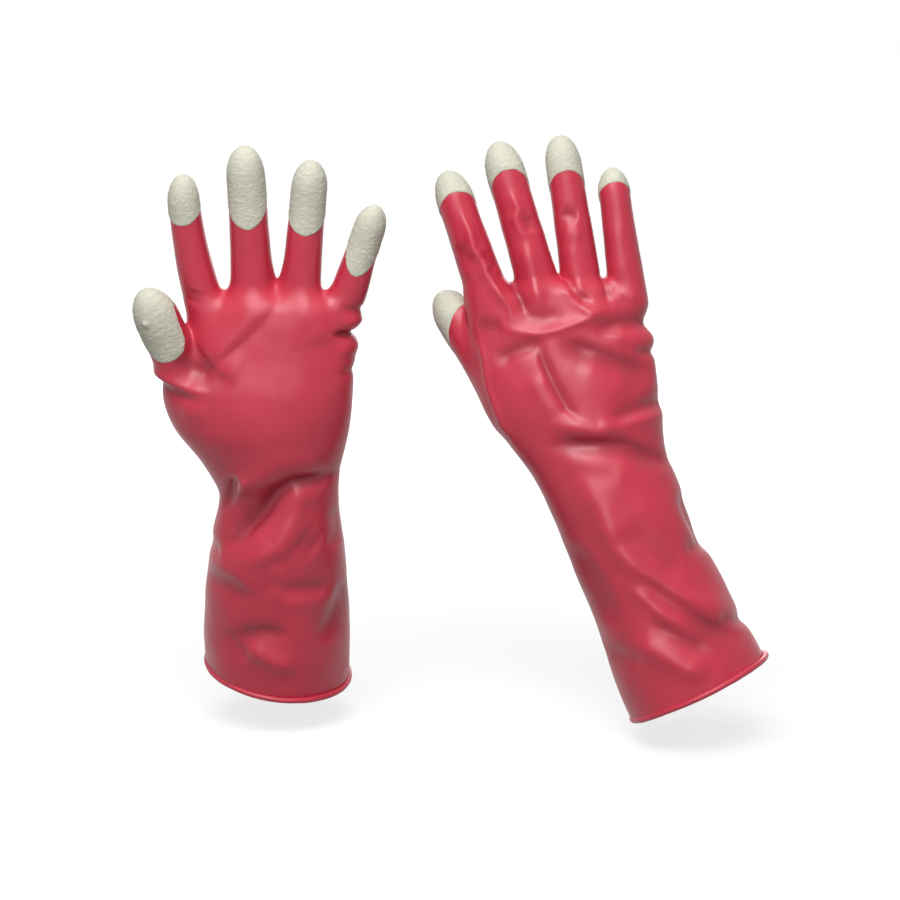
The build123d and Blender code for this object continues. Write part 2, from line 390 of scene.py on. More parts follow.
def mouth_of(glove):
    name = f"{glove.side}_cuff_mouth"
    return next(m for m in frame["record"]["mounts"] if m["name"] == name)


def place_of(glove):
    """Carries a point of the glove's own frame, in millimetres, into the row frame, in metres."""
    at = Matrix.Translation(mouth_of(glove)["pos_m"])
    return at @ Matrix.Rotation(radians(glove.turn), 4, "X") @ Matrix.Scale(MM, 4)


def sideways_of(digit):
    return turning(digit.lean, 0) @ Vector((1, 0, 0))


def axes_of(glove, digit):
    """A digit's crotch, direction and palm-side direction, in the glove's frame."""
    along = turning(digit.lean, 0) @ turning(0, digit.tilt) @ Vector((0, 0, 1))
    root = Vector(digit.tip) - along * digit.length - sideways_of(digit) * digit.sway
    palmar = Vector((0, glove.palm_side, 0))
    palmar = (palmar - along * palmar.dot(along)).normalized()
    return root, along, Matrix.Rotation(radians(digit.roll), 3, along) @ palmar


def shaped_like(mesh, points):
    mesh.vertices.foreach_set("co", np.asarray(points, np.float32).ravel())
    mesh.update()


def triples(items, field):
    """Three numbers of each item, as rows."""
    values = np.empty(len(items) * 3, np.float32)
    items.foreach_get(field, values)
    return values.reshape(-1, 3).astype(float)


def points_of(mesh):
    return triples(mesh.vertices, "co")


def normals_of(mesh):
    return triples(mesh.vertex_normals, "vector")


def add_attribute(mesh, name, values, kind="FLOAT", key="value"):
    mesh.attributes.new(name, kind, "POINT").data.foreach_set(key, values.ravel())


def object_from(mesh, name):
    obj = bpy.data.objects.new(name, mesh)
    bpy.context.collection.objects.link(obj)
    return obj


def made_plain(obj, name):
    """The object as its modifiers leave it, as a plain mesh with no modifiers."""
    depsgraph = bpy.context.evaluated_depsgraph_get()
    mesh = bpy.data.meshes.new_from_object(obj.evaluated_get(depsgraph), depsgraph=depsgraph)
    bpy.data.objects.remove(obj)
    mesh.name = name
    return mesh


# The glove's form as a distance field


def hermite(knots, values, at):
    """A smooth curve through the values at the knots, straight beyond the ends."""
    slopes = np.gradient(values, knots)
    low, high = knots[0], knots[-1]
    inside = np.clip(at, low, high)
    i = np.clip(np.searchsorted(knots, inside) - 1, 0, len(knots) - 2)
    step = knots[i + 1] - knots[i]
    t = (inside - knots[i]) / step
    rise = values[i] * (1 + 2 * t) * (1 - t) ** 2 + values[i + 1] * (3 - 2 * t) * t**2
    bend = slopes[i] * t * (1 - t) ** 2 - slopes[i + 1] * (1 - t) * t**2
    beyond = np.minimum(at - low, 0) * slopes[0] + np.maximum(at - high, 0) * slopes[-1]
    return rise + bend * step + beyond


def joined(a, b, radius):
    """The union of two distances, rounded where they meet."""
    overlap = np.maximum(radius - np.abs(a - b), 0) / radius
    return np.minimum(a, b) - overlap**2 * radius / 4


def level_width(section):
    """Half width of a leaning section, measured level."""
    return section.half_width / cos(radians(section.lean))


def hand_distance(glove, points):
    """Distance outside the arm and palm, which close over at the crown."""
    z = points[:, 2]
    rows = np.array([(s.z, s.x, s.y, level_width(s), s.half_depth) for s in glove.sections], float)
    x0, y0, a, b = (hermite(rows[:, 0], rows[:, k], z) for k in range(1, 5))
    a = np.maximum(a, LEAST_SECTION[0])
    b = np.maximum(b, LEAST_SECTION[1])
    x, y = points[:, 0] - x0, points[:, 1] - y0
    reach = np.sqrt((x / a) ** 2 + (y / b) ** 2)
    slope = np.sqrt((x / a**2) ** 2 + (y / b**2) ** 2) + TINY
    side = reach * (reach - 1) / slope
    top_x, top_z, top_slope = glove.crown
    return -joined(-side, top_z + top_slope * (points[:, 0] - top_x) - z, CROWN_ROUND)


def digit_distance(glove, digit, points):
    """Distance outside a round stall that tapers, curls a little and ends like an egg."""
    root, along, palmar = (np.array(v) for v in axes_of(glove, digit))
    dome = digit.tip_radius * TIP_STRETCH
    straight = digit.length - dome
    height = (points - root) @ along
    t = np.clip(height, -ROOT_DEPTH, straight)
    share = t / straight
    radius = digit.root_radius + (digit.tip_radius - digit.root_radius) * share
    pad = digit.pad * np.exp(-(((t - straight) / PAD_LENGTH) ** 2))
    curl = np.maximum(height / digit.length, 0) ** 2
    bend = palmar * digit.bow + np.array(sideways_of(digit)) * digit.sway
    centre = root + np.outer(height, along) + np.outer(curl, bend)
    reach = np.linalg.norm(points - centre, axis=1)
    side = reach - radius - pad
    below = np.hypot(np.maximum(-ROOT_DEPTH - height, 0), np.maximum(side + radius, 0)) - radius
    side = np.where(height < -ROOT_DEPTH, below, side)
    rise = np.maximum(height - straight, 0)
    width = digit.tip_radius + digit.pad
    size = np.sqrt((reach / width) ** 2 + (rise / dome) ** 2)
    slope = np.sqrt((reach / width**2) ** 2 + (rise / dome**2) ** 2) + TINY
    return np.where(rise > 0, size * (size - 1) / slope, side)


def glove_distance(glove, points):
    distance = hand_distance(glove, points)
    for digit in glove.digits:
        distance = joined(distance, digit_distance(glove, digit, points), digit.web)
    return distance


def slope_at(glove, points):
    """The gradient of the distance at each point."""
    gradient = np.empty_like(points)
    for axis in range(3):
        nudge = np.zeros(3)
        nudge[axis] = SLOPE_STEP
        ahead = glove_distance(glove, points + nudge)
        behind = glove_distance(glove, points - nudge)
        gradient[:, axis] = (ahead - behind) / (2 * SLOPE_STEP)
    return gradient


def drawn_to_form(glove, points, rounds):
    """The points moved on to the glove's surface."""
    for _ in range(rounds):
        gradient = slope_at(glove, points)
        size = np.maximum((gradient**2).sum(1), LEAST_SLOPE)
        move = gradient * (glove_distance(glove, points) / size)[:, None]
        length = np.linalg.norm(move, axis=1)
        points = points - move * np.minimum(1.0, LONGEST_MOVE / np.maximum(length, TINY))[:, None]
    return points


def relaxed(mesh, points, rounds):
    """The points evened out along the surface, each towards its neighbours."""
    edges = np.empty(len(mesh.edges) * 2, int)
    mesh.edges.foreach_get("vertices", edges)
    edges = edges.reshape(-1, 2)
    count = np.bincount(edges.ravel(), minlength=len(points))[:, None]
    for _ in range(rounds):
        total = np.zeros_like(points)
        for axis in range(3):
            total[:, axis] += np.bincount(edges[:, 0], points[edges[:, 1], axis], len(points))
            total[:, axis] += np.bincount(edges[:, 1], points[edges[:, 0], axis], len(points))
        points = points + EVENING * (total / count - points)
    return points


# The film's base mesh


def add_tube(bm, centres, across, back, widths, depths, sides=TUBE_SIDES):
    """A closed tube of oval rings."""
    rings = []
    for centre, width, depth in zip(centres, widths, depths):
        ring = []
        for k in range(sides):
            turn = 2 * pi * k / sides
            ring.append(bm.verts.new(centre + across * width * cos(turn) + back * depth * sin(turn)))
        rings.append(ring)
    for low, high in zip(rings, rings[1:]):
        for k in range(sides):
            bm.faces.new((low[k], low[k - 1], high[k - 1], high[k]))
    bm.faces.new(rings[0])
    bm.faces.new(rings[-1][::-1])


def rough_glove(glove):
    """Overlapping tubes for the arm, palm and digits."""
    bm = bmesh.new()
    across, back = Vector((1, 0, 0)), Vector((0, 1, 0))
    hand = glove.sections
    top = glove.crown[1] - 4.0
    centres = [Vector((s.x, s.y, min(s.z, top))) for s in hand]
    depths = [s.half_depth for s in hand]
    add_tube(bm, centres, across, back, [level_width(s) for s in hand], depths, 2 * TUBE_SIDES)
    for digit in glove.digits:
        root, along, palmar = axes_of(glove, digit)
        dome = digit.tip_radius * TIP_STRETCH
        straight = digit.length - dome
        heights = [-ROOT_DEPTH, 0.0, straight / 2, straight]
        # a little inside the form, so that close digits stay apart
        radii = [digit.root_radius - 1.0] * 2
        radii += [(digit.root_radius + digit.tip_radius) / 2 - 0.5, digit.tip_radius]
        for angle in ROUND_END:
            heights.append(straight + dome * sin(radians(angle)))
            radii.append(digit.tip_radius * cos(radians(angle)))
        sway = sideways_of(digit) * digit.sway
        rings = [root + along * h + sway * max(h / digit.length, 0) ** 2 for h in heights]
        add_tube(bm, rings, palmar.cross(along), palmar, radii, radii)
    bmesh.ops.recalc_face_normals(bm, faces=bm.faces)
    mesh = bpy.data.meshes.new("rough_glove")
    bm.to_mesh(mesh)
    bm.free()
    return object_from(mesh, "rough_glove")


def smooth_glove(glove, voxel):
    """One even skin over the tubes, drawn on to the glove's form."""
    obj = rough_glove(glove)
    remesh = obj.modifiers.new("even skin", "REMESH")
    remesh.mode = "VOXEL"
    remesh.voxel_size = voxel
    mesh = made_plain(obj, f"{glove.side}_skin")
    points = drawn_to_form(glove, points_of(mesh), 3)
    for _ in range(4):
        points = drawn_to_form(glove, relaxed(mesh, points, 2), 2)
    shaped_like(mesh, points)
    return mesh


# Folds


def polyline_distance(line, x, z):
    """Distance from a line of points, above 0 on its left; and the share of its length there."""
    line = np.array(line, float)
    lengths = np.linalg.norm(np.diff(line, axis=0), axis=1)
    nearest = np.full(len(x), 1e9)
    where = np.zeros(len(x))
    done = 0.0
    for start, end, length in zip(line, line[1:], lengths):
        direction = (end - start) / length
        dx, dz = x - start[0], z - start[1]
        t = np.clip(dx * direction[0] + dz * direction[1], 0, length)
        gap = np.hypot(dx - direction[0] * t, dz - direction[1] * t)
        left = np.where(direction[0] * dz - direction[1] * dx > 0, 1.0, -1.0)
        closer = gap < np.abs(nearest)
        nearest[closer] = (gap * left)[closer]
        where[closer] = ((done + t) / lengths.sum())[closer]
        done += length
    return nearest, where


def fold_height(fold, points, normals):
    distance, share = polyline_distance(fold.line, points[:, 0], points[:, 2])
    slant = 0.5 + 0.5 * np.tanh(distance / fold.width)
    width = fold.width * (slant * fold.lop + (1 - slant) / fold.lop)
    u = np.abs(distance) / width
    rounded = FOLD_CORE * np.exp(-(u**2)) + (1 - FOLD_CORE) * np.exp(-((u / FOLD_SKIRT) ** 2))
    profile = (1 - fold.sharp) * rounded + fold.sharp * np.exp(-CREASE_FALL * u)
    fade = np.clip(np.minimum(share, 1 - share) / FOLD_FADE, 0, 1)
    height = fold.height * profile * (FOLD_END + (1 - FOLD_END) * fade * fade * (3 - 2 * fade))
    if fold.face:
        height = height * np.clip(0.5 + FACE_FALL * normals[:, 1] * fold.face, 0, 1)
    return height


def unevenness(points, scale, seed):
    """Slow random heights, from about -1 to 1."""
    shift = Vector((seed * 17.3, seed * 5.1, seed * 9.7))
    return np.array([noise.noise(Vector(p) / scale + shift) for p in points])


def fold_heights(glove, points, normals):
    return sum((fold_height(fold, points, normals) for fold in glove.folds), np.zeros(len(points)))


def folded(glove, points, normals, depth):
    height = depth * fold_heights(glove, points, normals)
    seed = 1 + GLOVES.index(glove)
    digits = np.min([digit_distance(glove, digit, points) for digit in glove.digits], axis=0)
    calm = np.clip(digits / CALM_REACH, CALM_LEAST, 1.0)
    height += calm * SWELLS[0] * unevenness(points, SWELLS[1], seed)
    height += RIPPLES[0] * unevenness(points, RIPPLES[1], seed + 5)
    return points + normals * height[:, None]


# Cutting the skin into pieces that share their seams


def seam_of(glove, digit, settings):
    """A point on a digit's seam and the way the digit leaves it, in the glove's frame."""
    if digit.name == "thumb":
        x, z = glove.thumb_crotch
        away = turning(glove.thumb_fold_lean, 0) @ Vector((-1, 0, 0))
        return Vector((x, 0, z)) - away * settings.thumb_seam, away
    root, along, _ = axes_of(glove, digit)
    return root + along * settings.finger_seam, along


def gap_direction(glove, thumb):
    """Across the gap between the index finger and the thumb, towards the thumb."""
    index = next(digit for digit in glove.digits if digit.name == "index")
    return turning((index.lean + thumb.lean) / 2, 0) @ Vector((-1, 0, 0))


def on_digit(glove, digit, seam, away, points):
    """Which points belong to a digit: past its seam and clear of its neighbours."""
    offset = points - np.array(seam)
    past = offset @ np.array(away) > PAST_SEAM
    if digit.name == "thumb":
        return past & (offset @ np.array(gap_direction(glove, digit)) > PAST_SEAM)
    along = np.array(away)
    across = offset - np.outer(offset @ along, along)
    return past & (np.linalg.norm(across, axis=1) < digit.root_radius + FINGER_SPAN)


def cut_at(bm, co, no, near):
    """Cuts the faces whose middle is near the seam along a plane."""
    faces = [f for f in bm.faces if near(f.calc_center_median())]
    edges = {e for f in faces for e in f.edges}
    verts = {v for f in faces for v in f.verts}
    geometry = [*verts, *edges, *faces]
    bmesh.ops.bisect_plane(bm, geom=geometry, plane_co=co, plane_no=no, dist=ON_PLANE)


def trim_below(bm, co, no, dist):
    """Takes away all that lies behind a plane."""
    geometry = [*bm.verts, *bm.edges, *bm.faces]
    bmesh.ops.bisect_plane(bm, geom=geometry, plane_co=co, plane_no=no, dist=dist, clear_inner=True)


def cut_skin(glove, mesh, settings):
    """The skin trimmed at the mouth, and each face's digit, or none on the palm and sleeve."""
    bm = bmesh.new()
    bm.from_mesh(mesh)
    up = turning(glove.mouth_lean, glove.mouth_tilt) @ Vector((0, 0, 1))
    trim_below(bm, up * settings.rim_height, up, ON_PLANE)
    seams = {}
    for digit in glove.digits:
        seam, away = seam_of(glove, digit, settings)
        seams[digit.name] = (seam, away)
        if digit.name == "thumb":
            gap = gap_direction(glove, digit)
            past, reach = THUMB_CUT
            cut_at(bm, seam, away, lambda c: c.z < seam.z + past and abs((c - seam).dot(away)) < reach)
            cut_at(bm, seam, gap, lambda c: c.z > seam.z - past and abs((c - seam).dot(gap)) < reach)
        else:
            reach = digit.root_radius + FINGER_CUT
            cut_at(bm, seam, away, lambda c: (c - seam).length < reach)
    bm.to_mesh(mesh)
    bm.free()
    centres = np.array([f.center for f in mesh.polygons], float)
    owner = np.zeros(len(centres), int)
    for k, digit in enumerate(glove.digits, start=1):
        owner[on_digit(glove, digit, *seams[digit.name], centres)] = k
    return owner, seams


def own_faces(faces):
    """The points that some faces use, and the faces numbered by them."""
    faces = list(faces)
    used = sorted({v for face in faces for v in face})
    index = {v: k for k, v in enumerate(used)}
    return used, [tuple(index[v] for v in face) for face in faces]


def closed_wall(name, top, outer, inner, label, values):
    """A wall between two faces, closed at its edges, with one named value at each point."""
    count = len(outer)
    under = [tuple(v + count for v in reversed(face)) for face in top]
    edges = {edge: None for face in top for edge in zip(face, face[1:] + face[:1])}
    rim = [(b, a, a + count, b + count) for a, b in edges if (b, a) not in edges]
    mesh = bpy.data.meshes.new(name)
    mesh.from_pydata(np.vstack([outer, inner]).tolist(), [], top + under + rim)
    mesh.polygons.foreach_set("use_smooth", np.ones(len(mesh.polygons), bool))
    add_attribute(mesh, label, np.tile(values, 2))
    mesh.update()
    return mesh


def closed_film(name, skin, faces, thickness):
    """A wall of film under some faces of a skin, with the skin's own normals."""
    used, top = own_faces(faces)
    outer, up = skin["points"][used], skin["normals"][used]
    # the fold_depth values hold how deep each valley is, for the painted shade in the film's colour
    mesh = closed_wall(name, top, outer, outer - up * thickness, "fold_depth", skin["depth"][used])
    loops = np.empty(len(mesh.loops), int)
    mesh.loops.foreach_get("vertex_index", loops)
    normals = np.vstack([up, -up])[loops]
    for edge in mesh.edges:
        a, b = edge.vertices
        edge.use_edge_sharp = abs(a - b) == len(used)
    rims = [polygon.normal[:] for polygon in mesh.polygons[2 * len(top) :]]
    normals[2 * sum(len(face) for face in top) :] = np.repeat(rims, 4, axis=0)
    mesh.normals_split_custom_set(normals.tolist())
    return mesh


# Materials and node helpers

GRAIN_HEIGHT = 0.0002  # in metres


def feed(tree, socket, value):
    """Links a socket to the one given, or sets its own value."""
    if isinstance(value, bpy.types.NodeSocket):
        tree.links.new(value, socket)
    else:
        socket.default_value = value


def add_node(tree, kind, location, inputs=None, **values):
    """A node with its properties set and its inputs fed."""
    node = tree.nodes.new(kind)
    node.location = location
    for name, value in values.items():
        setattr(node, name, value)
    for key, value in (inputs or {}).items():
        feed(tree, node.inputs[key], value)
    return node


def add_math(tree, operation, location, a, b):
    return add_node(tree, "ShaderNodeMath", location, {0: a, 1: b}, operation=operation).outputs[0]


def new_material(name, surface):
    """An empty material whose surface is one shader node of the given kind."""
    material = bpy.data.materials.new(name)
    material.use_nodes = True
    tree = material.node_tree
    tree.nodes.clear()
    shader = add_node(tree, surface, (600, 0))
    add_node(tree, "ShaderNodeOutputMaterial", (900, 0), {"Surface": shader.outputs[0]})
    place = add_node(tree, "ShaderNodeTexCoord", (-1200, 0))
    return material, tree, shader, place.outputs["Object"]


def add_noise(tree, place, location, scale, detail):
    inputs = {"Scale": scale, "Detail": detail, "Vector": place}
    return add_node(tree, "ShaderNodeTexNoise", location, inputs).outputs["Fac"]


def add_spread(tree, source, location, low, high, start=0.3, end=0.7):
    """Takes a noise's middle range to the range from low to high."""
    inputs = {"Value": source, "From Min": start, "From Max": end, "To Min": low, "To Max": high}
    return add_node(tree, "ShaderNodeMapRange", location, inputs).outputs[0]


def add_mix(tree, location, factor, a, b):
    """A mix of two colours, which are a mix node's sockets 6 and 7."""
    inputs = {"Factor": factor, 6: a, 7: b}
    return add_node(tree, "ShaderNodeMix", location, inputs, data_type="RGBA").outputs[2]


def shaded(colour, amount):
    return (*(channel * amount for channel in colour), 1.0)


def add_colour_and_painted_shade(tree, place, shader, colour, clouds, shades, folds, depths, painted_shade):
    """A cloudy body colour, with painted shade that darkens it in the piece's valleys, read from its own
    fold values.
    """
    noise_level = add_noise(tree, place, (-900, 300), clouds, 3.0)
    cloudy = add_spread(tree, noise_level, (-600, 300), 0.0, 1.0)
    body = add_mix(tree, (-300, 300), cloudy, *(shaded(colour, amount) for amount in shades))
    depth = add_node(tree, "ShaderNodeAttribute", (-900, 0), attribute_name=folds).outputs["Fac"]
    deep = add_spread(tree, depth, (-600, 0), *depths)
    # painted shade: mixes towards the darker copy of the colour in the piece's valleys
    body = add_mix(tree, (0, 200), deep, body, shaded(colour, painted_shade))
    feed(tree, shader.inputs["Base Color"], body)


def add_grain(tree, shader, grain, strength):
    """A fine bump from a noise."""
    inputs = {"Strength": strength, "Distance": GRAIN_HEIGHT, "Height": grain}
    bump = add_node(tree, "ShaderNodeBump", (250, -500), inputs)
    feed(tree, shader.inputs["Normal"], bump.outputs["Normal"])


def rubber_material(name, finish):
    """Dipped rubber film: satin gloss, a cloudy depth of colour and painted shade in the folds' valleys.
    """
    material, tree, shader, place = new_material(name, "ShaderNodeBsdfPrincipled")
    # painted shade: the colour darkens towards 0.55 of itself in the folds' valleys, by their fold_depth
    # values
    add_colour_and_painted_shade(
        tree,
        place,
        shader,
        finish.film_colour,
        clouds=26.0,
        shades=(0.93, 1.07),
        folds="fold_depth",
        depths=(0.0, 0.75, 0.0, 1.0),
        painted_shade=0.55,
    )
    smears = add_noise(tree, place, (-900, -600), 60.0, 4.0)
    low, high = finish.film_roughness - 0.05, finish.film_roughness + 0.06
    feed(tree, shader.inputs["Roughness"], add_spread(tree, smears, (-600, -600), low, high))
    add_grain(tree, shader, add_noise(tree, place, (-900, -900), 700.0, 2.0), strength=0.12)
    shader.inputs["IOR"].default_value = 1.5
    shader.inputs["Specular IOR Level"].default_value = 0.42
    shader.inputs["Subsurface Weight"].default_value = 0.12
    shader.inputs["Subsurface Radius"].default_value = (0.004, 0.001, 0.001)
    shader.inputs["Subsurface Scale"].default_value = 1.0
    return material


def coat_material(name, finish):
    """Crinkled matte second dip, with painted shade in the crinkles' valleys."""
    material, tree, shader, place = new_material(name, "ShaderNodeBsdfPrincipled")
    # painted shade: the colour darkens towards 0.72 of itself in the crinkles' valleys, by their crinkle
    # values
    add_colour_and_painted_shade(
        tree,
        place,
        shader,
        finish.coat_colour,
        clouds=90.0,
        shades=(0.95, 1.04),
        folds="crinkle",
        depths=(0.45, 0.0, 0.0, 0.7),
        painted_shade=0.72,
    )
    grain = add_noise(tree, place, (-900, -400), 1500.0, 3.0)
    feed(tree, shader.inputs["Roughness"], add_spread(tree, grain, (-600, -300), 0.62, 0.78))
    add_grain(tree, shader, grain, strength=0.35)
    shader.inputs["IOR"].default_value = 1.45
    return material


FINISHES = {
    "film": ("Dipped rubber film", rubber_material),
    "coat": ("Crinkled grip coat", coat_material),
}


def finish_of(kind):
    """The material of one kind, made once."""
    name, make = FINISHES[kind]
    return bpy.data.materials.get(name) or make(name, bpy.context.scene.glove_finish)


# Geometry Nodes


def tree_of(name, labels, fill):
    """A node tree with one named input for each label, made once; and its inputs' identifiers."""
    tree = bpy.data.node_groups.get(name)
    if not tree:
        tree = bpy.data.node_groups.new(name, "GeometryNodeTree")
        face = tree.interface
        face.new_socket("Geometry", in_out="INPUT", socket_type="NodeSocketGeometry")
        for label in labels:
            face.new_socket(label, in_out="INPUT", socket_type="NodeSocketFloat")
        face.new_socket("Material", in_out="INPUT", socket_type="NodeSocketMaterial")
        face.new_socket("Geometry", in_out="OUTPUT", socket_type="NodeSocketGeometry")
        given = add_node(tree, "NodeGroupInput", (-900, 0)).outputs
        shape = {"Geometry": fill(tree, given)}
        whole = add_node(tree, "GeometryNodeRealizeInstances", (850, 0), shape).outputs[0]
        finish = {"Geometry": whole, "Material": given["Material"]}
        done = add_node(tree, "GeometryNodeSetMaterial", (1020, 0), finish).outputs[0]
        add_node(tree, "NodeGroupOutput", (1200, 0), {"Geometry": done})
    items = [item for item in tree.interface.items_tree if item.in_out == "INPUT"]
    return tree, {item.name: item.identifier for item in items}


def add_named(tree, name, kind, location):
    """The patch's own values of one name."""
    kind_of = "GeometryNodeInputNamedAttribute"
    return add_node(tree, kind_of, location, {"Name": name}, data_type=kind).outputs["Attribute"]


def add_move(tree, shape, direction, amount):
    """Moves every point of a shape along its own direction."""
    lift = add_node(
        tree, "ShaderNodeVectorMath", (700, -250), {0: direction, "Scale": amount}, operation="SCALE"
    )
    inputs = {"Geometry": shape, "Offset": lift.outputs[0]}
    return add_node(tree, "GeometryNodeSetPosition", (700, 100), inputs).outputs[0]


def fill_crinkles(tree, given):
    """Raises a patch of skin along its normals by an even coat and its crinkles."""
    lie = add_named(tree, "lie", "FLOAT_VECTOR", (-900, -250))
    rim = add_named(tree, "rim", "FLOAT", (-900, -450))
    pitch = add_math(tree, "DIVIDE", (-700, -100), 1.0, given["Crinkle Size"])
    heights = []
    for k, (stretch, detail) in enumerate(CREPE):
        row = -300 - 300 * k
        scaled = add_node(
            tree, "ShaderNodeVectorMath", (-600, row), {0: lie, 1: stretch}, operation="MULTIPLY"
        )
        inputs = {"Detail": detail, "Distortion": 0.5, "Vector": scaled.outputs[0]}
        inputs.update({"Scale": pitch, "W": given["Seed"]})
        crepe = add_node(
            tree, "ShaderNodeTexNoise", (-400, row), inputs, noise_dimensions="4D"
        ).outputs["Fac"]
        off = add_math(tree, "SUBTRACT", (-200, row), crepe, 0.5)
        size = add_math(tree, "ABSOLUTE", (-50, row), off, 0.0)
        steep = add_math(tree, "MULTIPLY", (100, row), size, CREPE_RISE)
        heights.append(add_math(tree, "MINIMUM", (250, row), steep, 1.0))
    both = add_math(tree, "ADD", (400, -400), *heights)
    crinkle = add_math(tree, "MULTIPLY", (550, -400), both, 0.5)
    # the stored crinkle values also darken the coat's colour in the valleys, as painted shade
    inputs = {"Geometry": given["Geometry"], "Name": "crinkle", "Value": crinkle}
    stored = add_node(
        tree, "GeometryNodeStoreNamedAttribute", (300, 100), inputs, data_type="FLOAT"
    )
    raised = add_math(tree, "MULTIPLY", (550, -200), crinkle, given["Crinkle Height"])
    whole = add_math(tree, "ADD", (550, -50), raised, given["Thickness"])
    whole = add_math(tree, "MULTIPLY", (700, -50), whole, rim)
    normal = add_node(tree, "GeometryNodeInputNormal", (550, -550)).outputs[0]
    return add_move(tree, stored.outputs["Geometry"], normal, whole)


def fill_bead(tree, given):
    """A roll of film swept round the mouth, slightly uneven."""
    circles = []
    for k, (name, sides) in enumerate(BEAD_SIDES.items()):
        inputs = {"Resolution": sides, "Radius": given[name]}
        circle = add_node(
            tree, "GeometryNodeCurvePrimitiveCircle", (-600, 200 - 300 * k), inputs, mode="RADIUS"
        )
        circles.append(circle.outputs["Curve"])
    inputs = {"Curve": circles[0], "Profile Curve": circles[1]}
    sweep = add_node(tree, "GeometryNodeCurveToMesh", (-300, 100), inputs).outputs["Mesh"]
    place = add_node(tree, "GeometryNodeInputPosition", (-500, -300)).outputs[0]
    inputs = {"Scale": BEAD_WANDER, "Detail": 2.0, "Vector": place}
    wander = add_node(tree, "ShaderNodeTexNoise", (-300, -200), inputs).outputs["Color"]
    middle = {0: wander, 1: (0.5, 0.5, 0.5)}
    centred = add_node(tree, "ShaderNodeVectorMath", (-100, -200), middle, operation="SUBTRACT")
    moved = add_move(tree, sweep, centred.outputs[0], given["Unevenness"])
    smooth = add_node(tree, "GeometryNodeSetShadeSmooth", (800, 100), {"Geometry": moved})
    return smooth.outputs["Geometry"]


def grown(mesh, name, tree, ids, values):
    """A plain mesh: the given one after a node tree with its named inputs set."""
    obj = object_from(mesh, name)
    modifier = obj.modifiers.new(tree.name, "NODES")
    modifier.node_group = tree
    for label, value in values.items():
        modifier[ids[label]] = value
    return made_plain(obj, name)


# Pieces

skins = {}  # each glove's folded skin, by its side


def skin_of(glove):
    """The whole folded skin of one glove, cut along its seams, made once."""
    if glove.side in skins:
        return skins[glove.side]
    settings = bpy.context.scene.glove_film
    mesh = smooth_glove(glove, settings.mesh_size / MM)
    points = points_of(mesh)
    shaped_like(mesh, folded(glove, points, normals_of(mesh), settings.fold_depth))
    owner, seams = cut_skin(glove, mesh, settings)
    points, normals = points_of(mesh), normals_of(mesh)
    found = {
        "points": points,
        "normals": normals,
        # depth: how deep each point's valley is, which the film's colour uses as painted shade
        "depth": np.clip(-fold_heights(glove, points, normals) / FULL_SHADE_DEPTH, 0, 1),
        "faces": [tuple(f.vertices) for f in mesh.polygons],
        "owner": owner,
        "seams": seams,
    }
    bpy.data.meshes.remove(mesh)
    skins[glove.side] = found
    return found


def bend_with(obj):
    """Bakes the piece's placing into its mesh."""
    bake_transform(obj)


def piece_of(name, mesh, glove, kind):
    """The finished piece in the row frame, in its finish."""
    mesh.transform(place_of(glove))
    mesh.materials.clear()
    mesh.materials.append(finish_of(kind))
    obj = object_from(mesh, name)
    return obj


def make_skins(glove, settings):
    skin = skin_of(glove)
    groups = [[] for _ in range(len(glove.digits) + 1)]
    for face, owner in zip(skin["faces"], skin["owner"]):
        groups[owner].append(face)
    thickness = settings.film_thickness / MM
    side = glove.side
    mesh = closed_film(f"{side}_hand_skin", skin, groups[0], thickness)
    obj = piece_of(f"{side}_hand_skin", mesh, glove, "film")
    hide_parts(f"{side}_cuff_sleeve", f"{side}_palm")
    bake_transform(obj)
    for digit, faces in zip(glove.digits, groups[1:]):
        name = f"{side}_{digit.name}_skin"
        mesh = closed_film(name, skin, faces, thickness)
        obj = piece_of(name, mesh, glove, "film")
        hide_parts(f"{side}_{digit.name}_stall")
        bend_with(obj)


def coat_patch(glove, digit, skin, settings):
    """The digit's skin past the level of the second dip, finely divided."""
    root, along, palmar = axes_of(glove, digit)
    number = 1 + glove.digits.index(digit)
    used, faces = own_faces(f for f, owner in zip(skin["faces"], skin["owner"]) if owner == number)
    mesh = bpy.data.meshes.new("patch")
    mesh.from_pydata(skin["points"][used].tolist(), [], faces)
    middle = digit.length - (digit.coat_palm + digit.coat_back) / 2
    slope = (digit.coat_palm - digit.coat_back) / (2 * digit.tip_radius)
    normal = (along + palmar * slope).normalized()
    bm = bmesh.new()
    bm.from_mesh(mesh)
    level = root + along * middle
    trim_below(bm, level, normal, ON_LEVEL)
    for _ in range(settings.divisions):
        bmesh.ops.subdivide_edges(bm, edges=bm.edges[:], cuts=1, use_grid_fill=True, smooth=0.0)
    bmesh.ops.triangulate(bm, faces=[f for f in bm.faces if len(f.verts) > 4])
    bm.to_mesh(mesh)
    bm.free()
    return mesh, np.array(level), np.array(normal)


